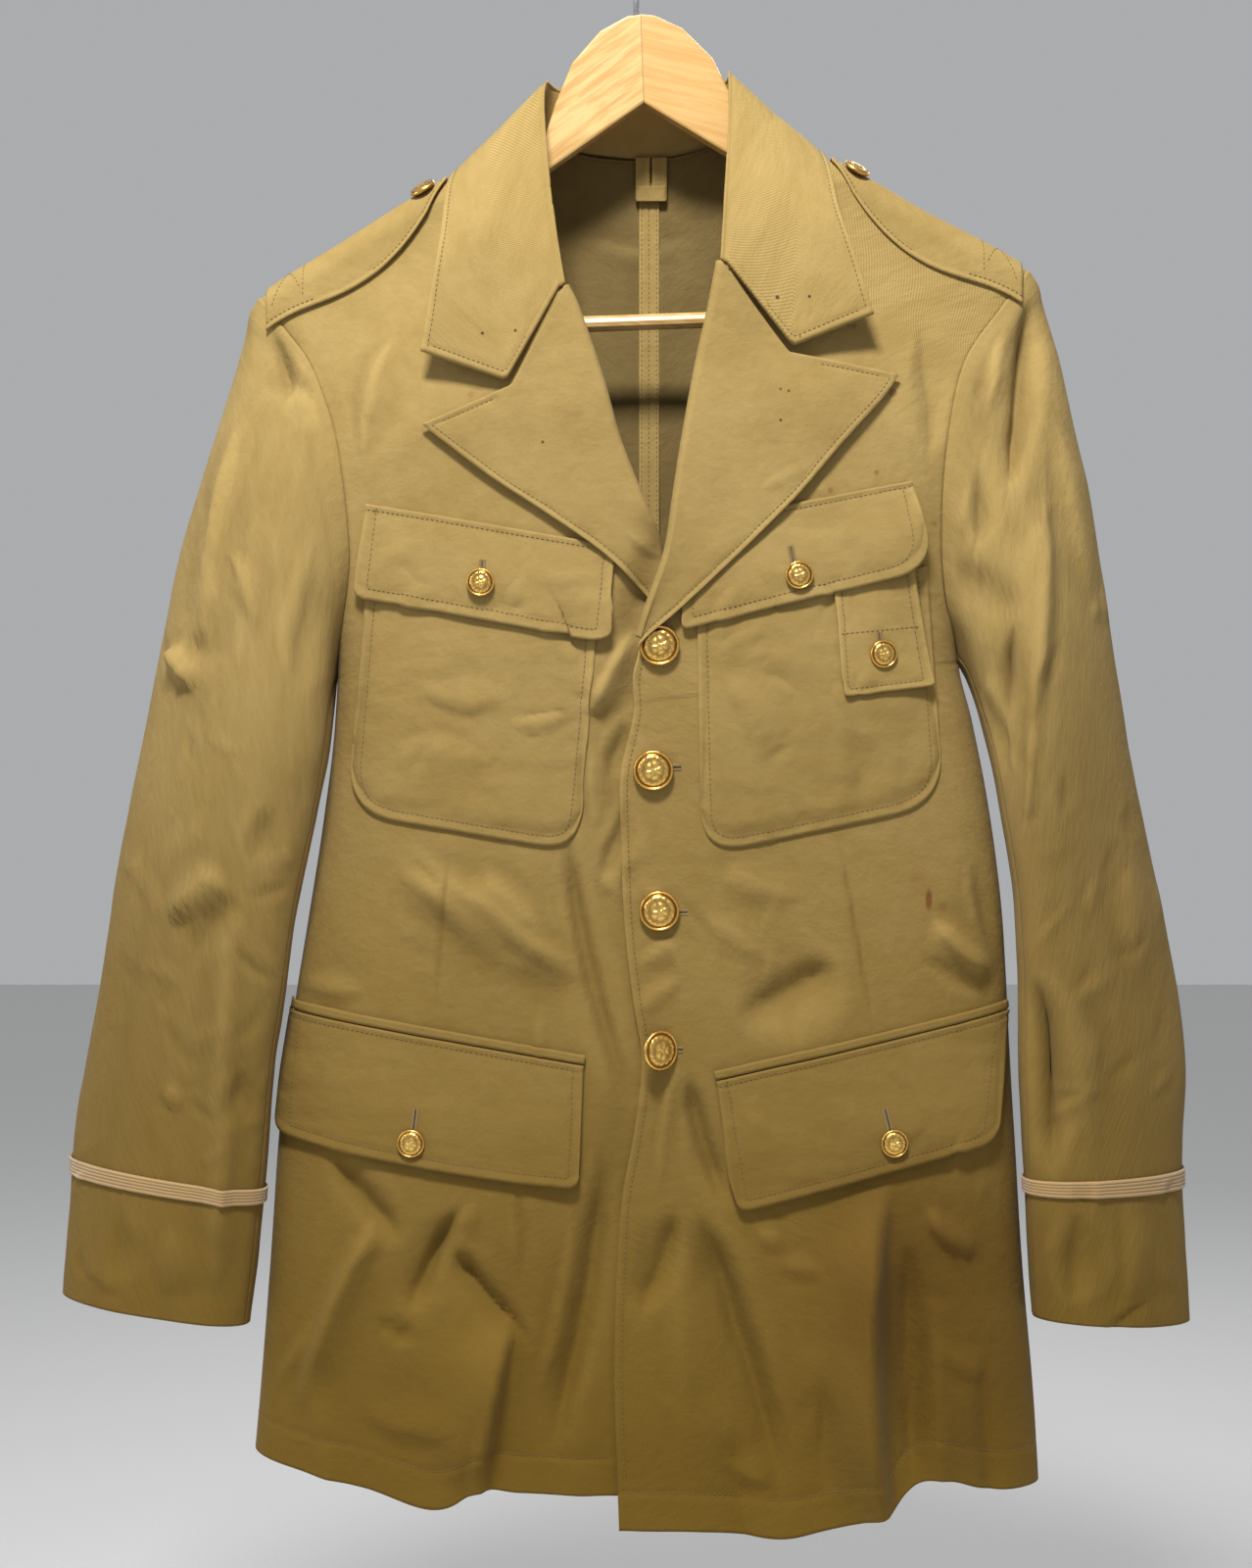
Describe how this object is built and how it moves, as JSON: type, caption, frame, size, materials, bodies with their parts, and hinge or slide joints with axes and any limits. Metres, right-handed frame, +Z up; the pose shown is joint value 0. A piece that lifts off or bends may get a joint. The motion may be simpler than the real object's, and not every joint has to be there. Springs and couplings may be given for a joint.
{
  "type": "military service coat on a wooden hanger",
  "caption": "Khaki cotton officer's service coat with notched collar, shoulder loops, buttoned pocket flaps and gilt buttons, hanging closed on a wooden hanger.",
  "frame": {"origin": "The point at the inside top of the hanger's hook, where the hook rests on its rail.", "axes": "+Z up along the hook's axis, -Y to the front of the coat, +X towards the wearer's left sleeve; the coat hangs below the origin."},
  "size_m": [0.6593, 0.1076, 0.9503],
  "materials": {
    "front_right": "cotton twill",
    "front_left": "cotton twill",
    "back_right": "cotton twill",
    "back_left": "cotton twill",
    "collar": "cotton twill",
    "facing_right": "cotton twill",
    "facing_left": "cotton twill",
    "neck_loop": "cotton tape",
    "back_seam_tape": "cotton tape",
    "sleeve_right_top": "cotton twill",
    "sleeve_right_under": "cotton twill",
    "sleeve_left_top": "cotton twill",
    "sleeve_left_under": "cotton twill",
    "cuff_braid_right": "ribbed mohair braid",
    "cuff_braid_left": "ribbed mohair braid",
    "epaulette_right": "cotton twill",
    "epaulette_left": "cotton twill",
    "breast_pocket_right": "cotton twill",
    "breast_pocket_left": "cotton twill",
    "breast_flap_right": "cotton twill",
    "breast_flap_left": "cotton twill",
    "hip_flap_right": "cotton twill",
    "hip_flap_left": "cotton twill",
    "hip_welt_right": "cotton twill",
    "hip_welt_left": "cotton twill",
    "pocket_tab": "cotton twill",
    "front_button_1": "satin gilt",
    "front_button_2": "satin gilt",
    "front_button_3": "satin gilt",
    "front_button_4": "satin gilt",
    "breast_button_right": "satin gilt",
    "breast_button_left": "satin gilt",
    "hip_button_right": "satin gilt",
    "hip_button_left": "satin gilt",
    "epaulette_button_right": "satin gilt",
    "epaulette_button_left": "satin gilt",
    "tab_button": "satin gilt",
    "hanger_arms": "clear lacquer",
    "hanger_bar": "clear lacquer",
    "hanger_hook": "plain"
  },
  "bodies": {
    "root": {"front_right": "front_right", "front_left": "front_left", "back_right": "back_right", "back_left": "back_left", "collar": "collar", "facing_right": "facing_right", "facing_left": "facing_left", "neck_loop": "neck_loop", "back_seam_tape": "back_seam_tape", "sleeve_right_top": "sleeve_right_top", "sleeve_right_under": "sleeve_right_under", "sleeve_left_top": "sleeve_left_top", "sleeve_left_under": "sleeve_left_under", "cuff_braid_right": "cuff_braid_right", "cuff_braid_left": "cuff_braid_left", "epaulette_right": "epaulette_right", "epaulette_left": "epaulette_left", "breast_pocket_right": "breast_pocket_right", "breast_pocket_left": "breast_pocket_left", "breast_flap_right": "breast_flap_right", "breast_flap_left": "breast_flap_left", "hip_flap_right": "hip_flap_right", "hip_flap_left": "hip_flap_left", "hip_welt_right": "hip_welt_right", "hip_welt_left": "hip_welt_left", "pocket_tab": "pocket_tab", "front_button_1": "front_button_1", "front_button_2": "front_button_2", "front_button_3": "front_button_3", "front_button_4": "front_button_4", "breast_button_right": "breast_button_right", "breast_button_left": "breast_button_left", "hip_button_right": "hip_button_right", "hip_button_left": "hip_button_left", "epaulette_button_right": "epaulette_button_right", "epaulette_button_left": "epaulette_button_left", "tab_button": "tab_button", "hanger_arms": "hanger_arms", "hanger_bar": "hanger_bar", "hanger_hook": "hanger_hook"}
  },
  "joints": []
}
